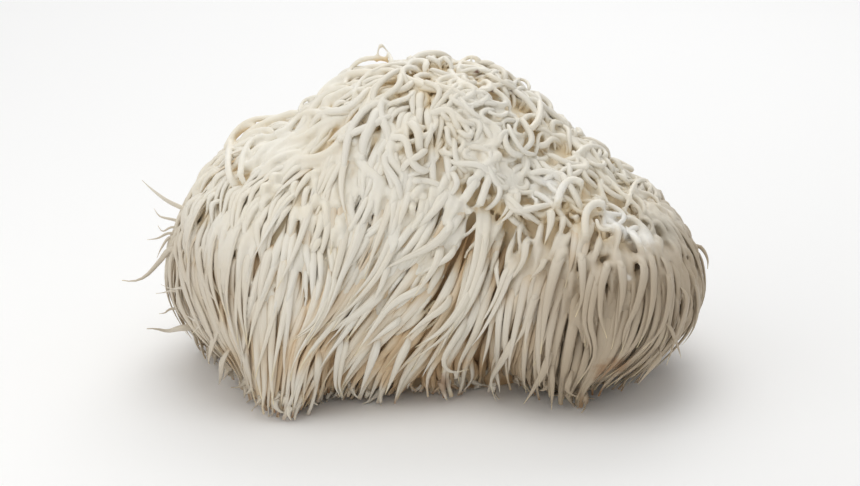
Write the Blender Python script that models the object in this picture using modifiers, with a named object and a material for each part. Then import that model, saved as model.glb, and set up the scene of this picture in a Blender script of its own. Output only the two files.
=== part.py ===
# Lion's mane mushroom, one fruiting body as picked, standing on its cut base.
# It grew as one piece: a lobed lump of flesh, a mane of hanging spines and a tangle of short curly spines on top.
# Metres, +Z up. The front faces -Y, and the origin is under the middle of the body, on the surface it rests on.
import math

import bmesh
import bpy
import numpy as np
from mathutils import Matrix

# Outer form of the mane, as lobes that flow into one another: centre and half sizes along X, Y and Z.
LOBES = {
    "left_shoulder": ((-0.038, 0.004, 0.028), (0.0355, 0.047, 0.0395)),
    "main": ((-0.018, 0.006, 0.0235), (0.055, 0.043, 0.044)),
    "crown": ((-0.003, 0.008, 0.042), (0.046, 0.0385, 0.043)),
    "right": ((0.0385, 0.000, 0.025), (0.035, 0.047, 0.0315)),
    "right_top": ((0.029, 0.003, 0.038), (0.0265, 0.034, 0.030)),
}
LOBE_BLEND = 0.0025  # how softly one lobe runs into the next
STANDING = (0.0052, -0.0029, 0.0)  # moves the body so that the middle of its box is over the origin
HEART = (0.0, 0.002, 0.018)  # middle of the body, from which the roots of the spines are spread

# The flesh under the mane, and the cut where it left the wood.
FLESH_DEPTH = 0.0060  # from the outer form down to the flesh
FLESH_UNDERSIDE = 0.005  # height of the flesh's underside over the surface
FLESH_RINGS = 16  # rings of each lobe's sphere
BASE_CENTRE = (0.002, 0.004)
BASE_RADII = (0.036, 0.026)
BASE_NECK = 1.25  # how much wider the base is where it meets the flesh
BASE_REACH = (-0.005, 0.029)  # from under the cut up into the flesh
BASE_SIDES = 32

# Where spines can grow: directions from the heart of the body, spread evenly from this angle up to straight up.
SITE_COUNT = 2400
SITE_LOWEST = 4.0
TANGLE_SLOPE = 0.60  # the tangle grows where the form faces up more than this, and the locks below it

# Hanging locks, each a few spines grown together.
LOCK_GAP = 0.0118  # least distance between the roots of two locks
LOCK_LENGTH = 0.044
LOCK_FALL = 1.2  # a lock is at most this many times as long as its root is high
LOCK_RADIUS = 0.0052
LOCK_TIP = 0.0008  # radius of the tip
LOCK_STEPS = 14
LOCK_LAYER = -0.0042  # how far inside the outer form a lock's middle line runs
LOCK_FLARE = 0.004  # how far the tips stand off that line at most
LOCK_LEAN = 0.55  # sideways drift of the front locks, towards -X, per unit of fall
LEAN_HALF_WIDTH = 0.06  # the drift fades out at this distance to either side
ROOT_DIP = 0.005  # how much deeper a root sits than the rest of its spine
TIP_HEIGHT = 0.0018  # lowest middle line of a lock that reaches the surface

# Curly spines on top: short tubes that wander over the form, and one arch that stands up at the peak.
CURL_GAP = 0.0098  # least distance between the roots of two curls
CURL_LENGTH = 0.026
CURL_RADIUS = 0.0023
CURL_STEPS = 12
CURL_WAVE = 0.0012  # how far a curl rises and dips
CURL_LAYER = -0.0026
ARCH_FOOT = (-0.0165, 0.004)
ARCH_ROOT = 0.008  # how deep its legs are sunk
ARCH_HEIGHT = 0.0045
ARCH_WIDTH = 0.008
ARCH_RADIUS = 0.0012
ARCH_STEPS = 10

# Long thin spines that stand away from the left side: where the root is, reach past the form, drop of the tip.
STRAYS = (
    {"azimuth": 183.0, "angle": 19.0, "reach": 0.0125, "drop": 0.009},
    {"azimuth": 180.0, "angle": 31.0, "reach": 0.0090, "drop": -0.007},
    {"azimuth": 188.0, "angle": 4.0, "reach": 0.0060, "drop": 0.005},
)
STRAY_RADIUS = 0.0012
STRAY_TIP = 0.0008
STRAY_STEPS = 8
STRAY_ROOT = -0.35  # where the root starts inside the form, as a share of the reach

# Fusing the pieces into one solid.
FUSE_VOXEL = 0.0010
SOFTENING = 3  # rounds of smoothing, which take out the voxels' steps
TRIANGLES = 9800
ATTEMPTS = 8
FINER = 0.985  # how much smaller the next attempt's voxels are
FLAT = 0.0004  # corners this near the cut are on it
SLIVER = 0.00003  # sides shorter than this are closed up
SLAB_SIZE = (0.4, 0.4, 0.05)
GOLDEN_ANGLE = math.pi * (3.0 - math.sqrt(5.0))
SEED = 11

CREAM = (0.83, 0.78, 0.66, 1.0)


def form_distance(points):
    """How far points are outside the blended lobes, negative inside."""
    total = 0.0
    for centre, radii in LOBES.values():
        rel = points - np.array(centre) - np.array(STANDING)
        scaled = np.linalg.norm(rel / np.array(radii), axis=-1)
        steepness = np.linalg.norm(rel / np.array(radii) ** 2, axis=-1)
        distance = scaled * (scaled - 1.0) / np.maximum(steepness, 1e-6)
        total = total + np.exp(-distance / LOBE_BLEND)
    return -LOBE_BLEND * np.log(total)


def form_normal(points):
    """Outward direction of the form at each point."""
    reach = 0.0005
    slope = np.stack(
        [form_distance(points + step) - form_distance(points - step) for step in np.eye(3) * reach],
        axis=-1,
    )
    return slope / np.linalg.norm(slope, axis=-1, keepdims=True)


def march(start, rays, reach):
    """Walks in from the far end of each ray to where it meets the form."""
    reach = np.full(len(rays), reach)
    for _ in range(60):
        reach -= np.clip(form_distance(start + rays * reach[:, None]), -0.01, 0.01)
    return start + rays * reach[:, None]


def form_points(azimuths, angles):
    """Where rays from the heart of the body leave the form."""
    flat = np.cos(angles)
    rays = np.stack([flat * np.cos(azimuths), flat * np.sin(azimuths), np.sin(angles)], axis=-1)
    return march(np.array(HEART) + np.array(STANDING), rays, 0.11)


def growing_sites():
    """Points all over the form, and how far up it faces at each."""
    order = np.arange(SITE_COUNT)
    lowest = math.sin(math.radians(SITE_LOWEST))
    height = lowest + (1.0 - lowest) * (order + 0.5) / SITE_COUNT
    sites = form_points(order * GOLDEN_ANGLE, np.arcsin(height))
    return sites, form_normal(sites)[:, 2]


def spaced(points, gap, chance):
    """As many of the points as lie no nearer to one another than the gap."""
    kept = []
    for point in chance.permutation(points):
        if all(np.linalg.norm(point - other) > gap for other in kept):
            kept.append(point)
    return np.array(kept)


def settle(points, layer):
    """Moves points along the form's normal until they lie at that distance from it."""
    for _ in range(2):
        points = points + form_normal(points) * (layer - form_distance(points))[:, None]
    return points


def along_form(points, pull):
    """The pull's direction as the form's surface lets it run."""
    normal = form_normal(points)
    along = pull - normal * np.sum(pull * normal, axis=-1, keepdims=True)
    return along / np.linalg.norm(along, axis=-1, keepdims=True)


def tapered_radii(steps, radius, tip):
    """Full at the root and down to the tip, as a spine tapers."""
    share = np.linspace(0.0, 1.0, steps + 1)
    return tip + (radius - tip) * (1.0 - share) ** 0.7


def lock_paths(here, chance):
    """Middle lines of locks that run down the form as hair does, with the front ones drifting to -X."""
    count = len(here)
    length = np.minimum(LOCK_LENGTH * chance.uniform(0.85, 1.15, count), here[:, 2] * LOCK_FALL)
    flare = chance.uniform(0.0, LOCK_FLARE, count)
    paths = []
    for step in range(LOCK_STEPS + 1):
        share = step / LOCK_STEPS
        dip = ROOT_DIP * max(0.0, 1.0 - 4.0 * share)
        here = settle(here, LOCK_LAYER - dip + flare * share**3)
        here[:, 2] = np.maximum(here[:, 2], TIP_HEIGHT)
        paths.append(here)
        front = np.clip(-form_normal(here)[:, 1], 0.0, 1.0)
        front *= np.clip(1.0 - np.abs(here[:, 0]) / LEAN_HALF_WIDTH, 0.0, 1.0)
        pull = np.stack([-LOCK_LEAN * front, np.zeros(count), -np.ones(count)], axis=-1)
        here = here + along_form(here, pull) * length[:, None] / LOCK_STEPS
    return np.stack(paths, axis=1)


def curl_paths(here, chance):
    """Middle lines of the short curly spines that wander over the top, with both ends sunk in the flesh."""
    count = len(here)
    heading = chance.uniform(0.0, 2.0 * math.pi, count)
    turning = chance.uniform(0.6, 1.4, count) * chance.choice([-1.0, 1.0], count)
    phase = chance.uniform(0.0, 2.0 * math.pi, count)
    paths = []
    for step in range(CURL_STEPS + 1):
        share = step / CURL_STEPS
        sunk = ROOT_DIP * abs(2.0 * share - 1.0) ** 6
        rise = CURL_WAVE * np.sin(phase + 2.0 * math.pi * share)
        here = settle(here, CURL_LAYER - sunk + rise)
        paths.append(here)
        angle = heading + turning * math.pi * share
        pull = np.stack([np.cos(angle), np.sin(angle), np.zeros(count)], axis=-1)
        here = here + along_form(here, pull) * CURL_LENGTH / CURL_STEPS
    return np.stack(paths, axis=1)


def stray_path(stray):
    """A long spine that leaves the side of the mane and bends up or down to its tip."""
    azimuth = math.radians(stray["azimuth"])
    root = form_points(np.array([azimuth]), np.radians([stray["angle"]]))[0]
    out = np.array([math.cos(azimuth), math.sin(azimuth), 0.0])
    share = np.linspace(STRAY_ROOT, 1.0, STRAY_STEPS + 1)[:, None]
    fall = np.array([0.0, 0.0, -stray["drop"]])
    return root + out * stray["reach"] * share + fall * np.sign(share) * share**2


def arch_path():
    """The small arch of one spine that stands up at the peak."""
    start = np.array([[ARCH_FOOT[0] + STANDING[0], ARCH_FOOT[1] + STANDING[1], 0.0]])
    foot = march(start, np.array([[0.0, 0.0, 1.0]]), 0.12)[0]
    turn = np.linspace(0.0, math.pi, ARCH_STEPS + 1)
    across = -np.cos(turn) * ARCH_WIDTH / 2.0
    path = foot + np.stack([across, 0.0 * turn, np.sin(turn) * ARCH_HEIGHT], axis=-1)
    path[[0, -1], 2] -= ARCH_ROOT
    return path


def new_collection(name):
    collection = bpy.data.collections.new(name)
    bpy.context.scene.collection.children.link(collection)
    return collection


def tubes(name, paths, radii, collection):
    """One curve object with a round, capped tube along each path."""
    curve = bpy.data.curves.new(name, "CURVE")
    curve.dimensions = "3D"
    curve.bevel_depth = 1.0
    curve.bevel_resolution = 2
    curve.use_fill_caps = True
    for path in paths:
        spline = curve.splines.new("POLY")
        spline.points.add(len(path) - 1)
        for point, place, radius in zip(spline.points, path, radii):
            point.co = (*place, 1.0)
            point.radius = radius
    tube = bpy.data.objects.new(name, curve)
    collection.objects.link(tube)
    return tube


def flesh(collection):
    """The solid flesh: the lobes drawn in under the mane, with a flat underside, and the base that was cut."""
    mesh = bpy.data.meshes.new("flesh")
    shape = bmesh.new()
    for centre, radii in LOBES.values():
        ball = bmesh.ops.create_uvsphere(
            shape, u_segments=2 * FLESH_RINGS, v_segments=FLESH_RINGS, radius=1.0
        )
        for vert in ball["verts"]:
            for axis in range(3):
                inner = radii[axis] - FLESH_DEPTH
                vert.co[axis] = vert.co[axis] * inner + centre[axis] + STANDING[axis]
            vert.co.z = max(vert.co.z, FLESH_UNDERSIDE)
    low, high = BASE_REACH
    base = bmesh.ops.create_cone(
        shape, cap_ends=True, segments=BASE_SIDES, radius1=1.0, radius2=BASE_NECK, depth=high - low
    )
    for vert in base["verts"]:
        vert.co.x = vert.co.x * BASE_RADII[0] + BASE_CENTRE[0] + STANDING[0]
        vert.co.y = vert.co.y * BASE_RADII[1] + BASE_CENTRE[1] + STANDING[1]
        vert.co.z += (low + high) / 2.0
    shape.to_mesh(mesh)
    shape.free()
    body = bpy.data.objects.new("flesh", mesh)
    collection.objects.link(body)
    return body


def joined(name, objects, collection):
    """One mesh that holds the evaluated shape of each object, which is then removed."""
    bpy.context.view_layer.update()
    graph = bpy.context.evaluated_depsgraph_get()
    shape = bmesh.new()
    for piece in objects:
        mesh = bpy.data.meshes.new_from_object(piece.evaluated_get(graph))
        mesh.transform(piece.matrix_world)
        shape.from_mesh(mesh)
        bpy.data.meshes.remove(mesh)
    bmesh.ops.remove_doubles(shape, verts=shape.verts, dist=1e-6)
    mesh = bpy.data.meshes.new(name)
    shape.to_mesh(mesh)
    shape.free()
    for piece in objects:
        bpy.data.objects.remove(piece)
    whole = bpy.data.objects.new(name, mesh)
    collection.objects.link(whole)
    return whole


def baked(piece):
    """Replaces the object's mesh with its evaluated one and clears the modifiers."""
    bpy.context.view_layer.update()
    graph = bpy.context.evaluated_depsgraph_get()
    mesh = bpy.data.meshes.new_from_object(piece.evaluated_get(graph))
    piece.modifiers.clear()
    piece.data = mesh


def keep_outer_skin(piece):
    """Drops every closed bubble and crumb, so that one body is left."""
    shape = bmesh.new()
    shape.from_mesh(piece.data)
    left = set(shape.verts)
    islands = []
    while left:
        island = [left.pop()]
        for vert in island:
            for edge in vert.link_edges:
                other = edge.other_vert(vert)
                if other in left:
                    left.discard(other)
                    island.append(other)
        islands.append(island)
    islands.sort(key=len)
    for island in islands[:-1]:
        bmesh.ops.delete(shape, geom=island, context="VERTS")
    shape.to_mesh(piece.data)
    shape.free()


def is_closed(mesh):
    """Whether every side joins two faces, and no two walls meet along a side or in a corner."""
    shape = bmesh.new()
    shape.from_mesh(mesh)
    closed = all(vert.is_manifold for vert in shape.verts)
    shape.free()
    return closed


def fuse(piece, voxel):
    """Runs all the shapes in the mesh into one skin."""
    skin = piece.modifiers.new("fuse", "REMESH")
    skin.mode = "VOXEL"
    skin.voxel_size = voxel
    soft = piece.modifiers.new("soften", "SMOOTH")
    soft.iterations = SOFTENING
    baked(piece)
    keep_outer_skin(piece)


def resting_surface(cutters):
    """The slab that cuts the base off flat where the body rests."""
    bpy.ops.mesh.primitive_cube_add(size=1.0)
    slab = bpy.context.object
    slab.name = "resting_surface"
    slab.data.transform(Matrix.Diagonal((*SLAB_SIZE, 1.0)))
    slab.location.z = -SLAB_SIZE[2] / 2.0
    slab.hide_render = True
    slab.display_type = "WIRE"
    for collection in slab.users_collection:
        collection.objects.unlink(slab)
    cutters.objects.link(slab)
    return slab


def cut_off(piece, slab):
    cut = piece.modifiers.new("base_cut", "BOOLEAN")
    cut.operation = "DIFFERENCE"
    cut.object = slab
    baked(piece)


def thin_out(piece):
    """Thins the skin to the wanted number of triangles and keeps its base flat."""
    thin = piece.modifiers.new("thin", "DECIMATE")
    thin.ratio = TRIANGLES / sum(len(face.vertices) - 2 for face in piece.data.polygons)
    baked(piece)
    shape = bmesh.new()
    shape.from_mesh(piece.data)
    for vert in shape.verts:
        if vert.co.z < FLAT:
            vert.co.z = 0.0
    bmesh.ops.dissolve_degenerate(shape, edges=shape.edges, dist=SLIVER)
    bmesh.ops.triangulate(shape, faces=shape.faces)
    shape.to_mesh(piece.data)
    shape.free()


def one_solid(piece, slab):
    """Fuses, cuts and thins. Thinning can pinch two walls together, and then a finer grid is tried."""
    loose = piece.data
    for attempt in range(ATTEMPTS):
        piece.data = loose
        fuse(piece, FUSE_VOXEL * FINER**attempt)
        cut_off(piece, slab)
        thin_out(piece)
        if is_closed(piece.data):
            break


def cream_flesh():
    """Matte, slightly waxy cream."""
    material = bpy.data.materials.new("mushroom_flesh")
    material.use_nodes = True
    shader = material.node_tree.nodes["Principled BSDF"]
    shader.inputs["Base Color"].default_value = CREAM
    shader.inputs["Roughness"].default_value = 0.55
    shader.inputs["Metallic"].default_value = 0.0
    return material


def main():
    for old in list(bpy.data.objects):
        bpy.data.objects.remove(old)
    chance = np.random.default_rng(SEED)
    parts = new_collection("lions_mane_mushroom")
    cutters = new_collection("cutters")
    sites, facing_up = growing_sites()
    lock_roots = spaced(sites[facing_up < TANGLE_SLOPE], LOCK_GAP, chance)
    curl_roots = spaced(sites[facing_up > TANGLE_SLOPE], CURL_GAP, chance)
    lock_radii = tapered_radii(LOCK_STEPS, LOCK_RADIUS, LOCK_TIP)
    curl_radii = np.full(CURL_STEPS + 1, CURL_RADIUS)
    arch_radii = np.full(ARCH_STEPS + 1, ARCH_RADIUS)
    stray_radii = tapered_radii(STRAY_STEPS, STRAY_RADIUS, STRAY_TIP)
    pieces = [
        flesh(parts),
        tubes("locks", lock_paths(lock_roots, chance), lock_radii, parts),
        tubes("curls", curl_paths(curl_roots, chance), curl_radii, parts),
        tubes("arch", [arch_path()], arch_radii, parts),
        tubes("strays", [stray_path(stray) for stray in STRAYS], stray_radii, parts),
    ]
    body = joined("fruiting_body", pieces, parts)
    one_solid(body, resting_surface(cutters))
    body.data.materials.clear()
    body.data.materials.append(cream_flesh())
    body.data.shade_smooth()


main()
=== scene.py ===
import math

import bpy
import numpy as np
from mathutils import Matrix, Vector


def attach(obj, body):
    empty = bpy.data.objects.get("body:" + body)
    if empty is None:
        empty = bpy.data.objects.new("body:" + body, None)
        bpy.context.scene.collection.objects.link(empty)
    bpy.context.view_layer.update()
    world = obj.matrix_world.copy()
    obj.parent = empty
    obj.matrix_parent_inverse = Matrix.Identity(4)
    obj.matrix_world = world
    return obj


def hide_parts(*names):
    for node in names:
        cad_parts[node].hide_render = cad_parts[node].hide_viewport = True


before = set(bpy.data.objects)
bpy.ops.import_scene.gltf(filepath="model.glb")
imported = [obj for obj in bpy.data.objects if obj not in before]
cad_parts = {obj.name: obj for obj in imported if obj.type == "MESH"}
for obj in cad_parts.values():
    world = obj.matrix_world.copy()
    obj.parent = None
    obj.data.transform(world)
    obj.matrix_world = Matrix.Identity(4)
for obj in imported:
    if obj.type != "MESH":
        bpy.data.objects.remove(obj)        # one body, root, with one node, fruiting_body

# Lengths are in metres, and mm turns millimetres into them.
mm = 0.001
upward = np.array([0.0, 0.0, 1.0])
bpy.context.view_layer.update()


# Small helpers for arrays of points

def unit(vectors):
    return vectors / np.maximum(np.linalg.norm(vectors, axis=-1, keepdims=True), 1e-12)


def ease(values, low, high):
    share = np.clip((values - low) / (high - low), 0.0, 1.0)
    return share * share * (3.0 - 2.0 * share)


def dot(first, second):
    return (first * second).sum(-1, keepdims=True)


def smoothNoise(seed, size, waves=9):
    # a function of place that wanders between about -1 and 1, over lengths of about this size
    chance = np.random.default_rng(seed)
    aims = unit(chance.normal(size=(waves, 3))) * chance.uniform(0.6, 1.5, (waves, 1)) * math.pi / size
    phases = chance.uniform(0.0, 2.0 * math.pi, waves)
    return lambda points: np.sin(points @ aims.T + phases).sum(-1) * math.sqrt(1.0 / waves)


# The outer form: five lobes run together, the same as the solid's

form = {
    "lobes": {
        "leftShoulder": ((-38.0, 4.0, 28.0), (35.5, 47.0, 39.5)),
        "main": ((-18.0, 6.0, 23.5), (55.0, 43.0, 44.0)),
        "crown": ((-3.0, 8.0, 42.0), (46.0, 38.5, 43.0)),
        "right": ((38.5, 0.0, 25.0), (35.0, 47.0, 31.5)),
        "rightTop": ((29.0, 3.0, 38.0), (26.5, 34.0, 30.0)),
    },                              # middle and radii of each lobe, in mm
    "blend": 2.5 * mm,
    "standing": (5.2, -2.9, 0.0),   # the whole form's shift, in mm, which centres its box
    "heart": (5.2, -0.9, 18.0),     # a point well inside, in mm
}
heart = np.array(form["heart"]) * mm


def formDistance(points):
    total = 0.0
    for middle, radii in form["lobes"].values():
        size = np.array(radii) * mm
        rel = points - (np.array(middle) + np.array(form["standing"])) * mm
        scaled = np.linalg.norm(rel / size, axis=-1)
        steepness = np.linalg.norm(rel / size**2, axis=-1)
        distance = scaled * (scaled - 1.0) / np.maximum(steepness, 1e-6)
        total = total + np.exp(-distance / form["blend"])
    return -form["blend"] * np.log(total)


def formNormal(points):
    step = 0.2 * mm
    slopes = [formDistance(points + offset) - formDistance(points - offset) for offset in np.eye(3) * step]
    return unit(np.stack(slopes, -1))


def settled(points, level):
    # the points moved onto the form, at this height off it
    for _ in range(4):
        points = points + formNormal(points) * (level - formDistance(points))[..., None]
    return points


def fromHeart(rays, level=0.0):
    # where rays from the heart meet the form at this level
    reach = np.full(rays.shape[:-1], 110.0 * mm)
    for _ in range(60):
        gap = formDistance(heart + rays * reach[..., None]) - level
        reach = reach - np.clip(gap, -8.0 * mm, 8.0 * mm)
    return heart + rays * reach[..., None]


# The camera, and where its pixels fall on the form

photo = {
    "width": 860,
    "height": 486,
    "lens": 85.0,
    "sensor": 36.0,
    "elevation": 17.0,             # degrees above level, looking along +Y
    "distance": 0.5625,
    "target": (0.0032, -0.0029, 0.036),
    "footHeight": 1.0 * mm,        # how low a pixel may fall
}


def eyeAxes():
    tilt = math.radians(photo["elevation"])
    back = np.array([0.0, -math.cos(tilt), math.sin(tilt)])
    right = np.array([1.0, 0.0, 0.0])
    eye = np.array(photo["target"]) + back * photo["distance"]
    return eye, back, right, np.cross(back, right)


def onForm(pixels, level):
    # where each pixel's ray meets the form at this level, or comes nearest to it
    eye, back, right, top = eyeAxes()
    pixels = np.array(pixels, float)
    scale = photo["lens"] / photo["sensor"] * photo["width"]
    across = (pixels[:, :1] - photo["width"] / 2.0) / scale
    down = (pixels[:, 1:] - photo["height"] / 2.0) / scale
    rays = unit(-back + across * right - down * top)
    reach = np.linspace(photo["distance"] - 90 * mm, photo["distance"] + 90 * mm, 721)
    points = eye + rays[:, None] * reach[None, :, None]
    gap = formDistance(points) - level
    gap[points[..., 2] < photo["footHeight"]] = 1.0
    inside = gap < 0.0
    meets = inside.any(1)
    chosen = np.where(meets, inside.argmax(1), gap.argmin(1))
    along = reach[chosen]
    for _ in range(4):
        miss = formDistance(eye + rays * along[:, None]) - level
        along = along + np.where(meets, miss, 0.0)
    return eye + rays * along[:, None]


def smoothRoute(points, count):
    # a Catmull-Rom curve through the points, read at even shares
    padded = np.concatenate([2 * points[:1] - points[1:2], points, 2 * points[-1:] - points[-2:-1]])
    lengths = np.linalg.norm(np.diff(points, axis=0), axis=1)
    knots = np.concatenate([[0.0], np.cumsum(lengths)]) / lengths.sum()
    shares = np.linspace(0.0, 1.0, count)
    piece = np.clip(np.searchsorted(knots, shares, side="right") - 1, 0, len(points) - 2)
    t = ((shares - knots[piece]) / (knots[piece + 1] - knots[piece]))[:, None]
    a, b, c, d = padded[piece], padded[piece + 1], padded[piece + 2], padded[piece + 3]
    return 0.5 * (2 * b + (c - a) * t + (2 * a - 5 * b + 4 * c - d) * t**2 + (3 * b - a - 3 * c + d) * t**3)


# Locks read from the photo: where each runs and how wide it is, both in pixels

guides = {
    # the sweep in the middle
    "centreLong": {"width": 15, "route": [(489, 178), (484, 231), (473, 280), (448, 330), (404, 364)]},
    "centreFork": {"width": 9, "route": [(481, 262), (464, 302), (441, 330), (415, 347)]},
    "centreTop": {"width": 14, "route": [(512, 178), (514, 199), (507, 213), (497, 224)]},
    "centreUpper": {"width": 9, "route": [(468, 205), (438, 241), (404, 259), (380, 271)]},
    "centreLeft": {"width": 13, "route": [(403, 212), (392, 243), (375, 275), (350, 304), (325, 324)]},
    "centreLow": {"width": 10, "route": [(398, 272), (380, 295), (350, 320), (312, 341)]},
    "centreMid": {"width": 7, "route": [(463, 235), (448, 257), (417, 276)]},
    "centreStep": {"width": 8, "route": [(445, 275), (422, 289), (395, 303), (362, 335)]},
    "centreSlip": {"width": 7, "route": [(412, 312), (392, 326), (365, 347)]},
    "centreHook": {"width": 8, "route": [(462, 280), (446, 306), (424, 322), (403, 340)]},
    "centreBeside": {"width": 9, "route": [(494, 240), (481, 276), (469, 305), (449, 339)]},
    "centreThick": {"width": 13, "route": [(514, 240), (504, 283), (482, 328), (471, 346)]},
    "centreRight": {"width": 8, "route": [(524, 225), (523, 258), (506, 285)]},
    "centreTip": {"width": 5, "route": [(494, 250), (497, 281), (500, 307)]},
    "centreInner": {"width": 8, "route": [(446, 232), (434, 268), (414, 296)]},
    "centreShelf": {"width": 7, "route": [(392, 250), (382, 284), (370, 307)]},
    "lowLeft": {"width": 9, "route": [(385, 325), (374, 355), (360, 394)]},
    "lowMiddle": {"width": 9, "route": [(420, 325), (402, 355), (385, 394)]},
    "lowTurn": {"width": 8, "route": [(480, 300), (460, 333), (444, 361), (452, 373), (470, 370)]},
    "lowRight": {"width": 8, "route": [(530, 305), (508, 350), (491, 382), (496, 402)]},
    "lowFar": {"width": 8, "route": [(556, 325), (545, 368), (533, 390), (524, 405)]},
    # the left side, with the bulge whose strands gather in a dent
    "bulgeOuter": {"width": 9, "route": [(172, 232), (175, 258), (184, 285), (203, 303)]},
    "bulgeMiddle": {"width": 10, "route": [(196, 222), (192, 254), (198, 281), (211, 304)]},
    "bulgeInner": {"width": 10, "route": [(216, 222), (212, 256), (212, 282), (219, 306)]},
    "bulgeRim": {"width": 9, "route": [(233, 232), (227, 270), (229, 300), (240, 322)]},
    "leftFoot": {"width": 13, "route": [(353, 318), (342, 352), (337, 384), (342, 398)]},
    "leftInner": {"width": 12, "route": [(339, 246), (333, 276), (327, 300), (316, 323), (290, 344)]},
    "leftRidge": {"width": 10, "route": [(272, 225), (265, 257), (259, 288), (258, 318)]},
    "leftLower": {"width": 11, "route": [(288, 225), (283, 266), (277, 303), (265, 335), (258, 350)]},
    "leftStraight": {"width": 9, "route": [(280, 300), (284, 338), (294, 379)]},
    "leftBottom": {"width": 10, "route": [(268, 345), (273, 390), (279, 417)]},
    "cornerLow": {"width": 9, "route": [(250, 335), (258, 372), (268, 404), (272, 418)]},
    "cornerLowest": {"width": 9, "route": [(296, 340), (300, 376), (293, 402), (285, 418)]},
    "cornerSide": {"width": 8, "route": [(238, 330), (244, 362), (254, 388), (262, 402)]},
    "cornerNext": {"width": 8, "route": [(320, 335), (318, 370), (312, 395), (304, 409)]},
    "bulgeFront": {"width": 9, "route": [(250, 228), (244, 262), (240, 292), (243, 318)]},
    "cornerOut": {"width": 7, "leads": False, "route": [(213, 306), (203, 316), (192, 322), (181, 317)]},
    "cornerDown": {"width": 6, "leads": False, "route": [(211, 306), (200, 322), (190, 334)]},
    "cornerLong": {"width": 8, "route": [(216, 318), (211, 340), (208, 364)]},
    "cornerFoot": {"width": 7, "route": [(222, 345), (221, 368), (218, 386)]},
    # the right lobe
    "valley": {"width": 8, "route": [(549, 198), (551, 221), (544, 244)]},
    "valleyLow": {"width": 7, "route": [(548, 250), (541, 266), (530, 281)]},
    "rightStart": {"width": 9, "route": [(540, 275), (528, 318), (514, 345)]},
    "rightYellow": {"width": 8, "route": [(580, 235), (583, 274), (581, 299), (574, 317)]},
    "rightWavy": {
        "width": 14,
        "route": [(610, 240), (596, 275), (589, 303), (587, 324), (593, 346), (590, 363), (576, 384)],
    },
    "rightBeside": {"width": 8, "route": [(616, 245), (607, 268), (601, 289), (600, 317), (607, 338)]},
    "rightLong": {"width": 11, "route": [(567, 225), (559, 257), (550, 290), (544, 322), (541, 354)]},
    "rightPlain": {"width": 9, "route": [(622, 243), (623, 290), (620, 322)]},
    "rightOuter": {"width": 9, "route": [(638, 232), (646, 266), (639, 303), (625, 331), (622, 353)]},
    "rightOutermost": {"width": 9, "route": [(653, 228), (654, 290), (648, 324), (637, 348)]},
    "rightEdge": {"width": 9, "route": [(672, 245), (670, 300), (661, 331), (643, 350)]},
    "rightFold": {"width": 8, "route": [(684, 262), (688, 303), (676, 340), (667, 366)]},
    "rightSharp": {"width": 5, "route": [(664, 305), (673, 333), (682, 358)]},
    "rightFloor": {"width": 8, "route": [(672, 345), (655, 363), (638, 384)]},
    "footLong": {"width": 6, "route": [(548, 350), (552, 385), (551, 411)]},
    "footCurl": {"width": 6, "leads": False, "route": [(574, 372), (567, 391), (580, 400)]},
}
guideLevel = 2.0 * mm
pixelSize = 0.262 * mm             # on the front of the form
guidePaths = {name: smoothRoute(onForm(lock["route"], guideLevel), 24) for name, lock in guides.items()}
leading = [path for name, path in guidePaths.items() if guides[name].get("leads", True)]
guidePoints = np.concatenate([path[:-1] for path in leading])
guideHeadings = unit(np.concatenate([np.diff(path, axis=0) for path in leading]))
print("form and guides ready:", len(guides), "guide locks")


# Where the tangle on top gives way to the mane, in pixels from left to right

tangleEdge = [
    (185, 190), (235, 168), (290, 192), (350, 200), (410, 205), (470, 196),
    (520, 200), (548, 192), (590, 222), (640, 230), (690, 225),
]
edgePoints = onForm(tangleEdge, 0.0)
edgeSlopes = formNormal(edgePoints)[:, 2]


def aboveEdge(points):
    # how much nearer to level the form is here than at the edge: above 0 is tangle, below 0 is mane
    saddle = 0.5 * ease(points[..., 2], 50 * mm, 60 * mm) * ease(points[..., 0], 8 * mm, 24 * mm)
    return formNormal(points)[..., 2] - np.interp(points[..., 0], edgePoints[:, 0], edgeSlopes) + saddle


# How the mane flows over the form

flow = {
    "guideReach": 7.0 * mm,        # how far a guide lock turns its neighbours
    "guideHold": 0.25,             # a guide this near outweighs the plain fall
    "swirl": 0.30,                 # sideways lean of the sides and back
    "calm": 0.10,                  # and of the front
}
turning = smoothNoise(5, 26 * mm)


def slopeAxes(points, normals):
    # down the slope, and outwards where the form is nearly level; then the way across it
    outward = points - heart
    outward[:, 2] = 0.0
    flat = ease(normals[:, 2:], 0.75, 0.98)
    pull = -upward + unit(outward) * flat * 2.0
    down = unit(pull - dot(pull, normals) * normals)
    return down, np.cross(normals, down)


def fallHeading(points, normals, leans):
    down, side = slopeAxes(points, normals)
    behind = ease(points[:, 1], -25 * mm, 0.0)
    swirl = turning(points) * (flow["calm"] * (1.0 - behind) + flow["swirl"] * behind)
    return unit(down + side * (leans + swirl)[:, None])


def headings(points, normals, leans):
    fall = fallHeading(points, normals, leans)
    gaps = ((points[:, None] - guidePoints[None]) ** 2).sum(-1)
    weights = np.exp(-gaps / (2.0 * flow["guideReach"] ** 2))
    weights = weights / (1.0 + gaps / (1.5 * mm) ** 2) ** 0.5
    guided = weights @ guideHeadings
    guided = guided - dot(guided, normals) * normals
    hold = weights.sum(1, keepdims=True)
    hold = hold / (hold + flow["guideHold"])
    side = np.cross(normals, unit(guided + fall * 1e-6))
    steered = unit(unit(guided + fall * 1e-6) + side * leans[:, None])
    return unit(steered * hold + fall * (1.0 - hold))


def onBulge(points):
    # the smooth bulge of fused spines at the left
    across = ease(-points[..., 0], 24 * mm, 40 * mm) * ease(-points[..., 1], -10 * mm, 6 * mm)
    return across * ease(points[..., 2], 12 * mm, 26 * mm)


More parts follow.
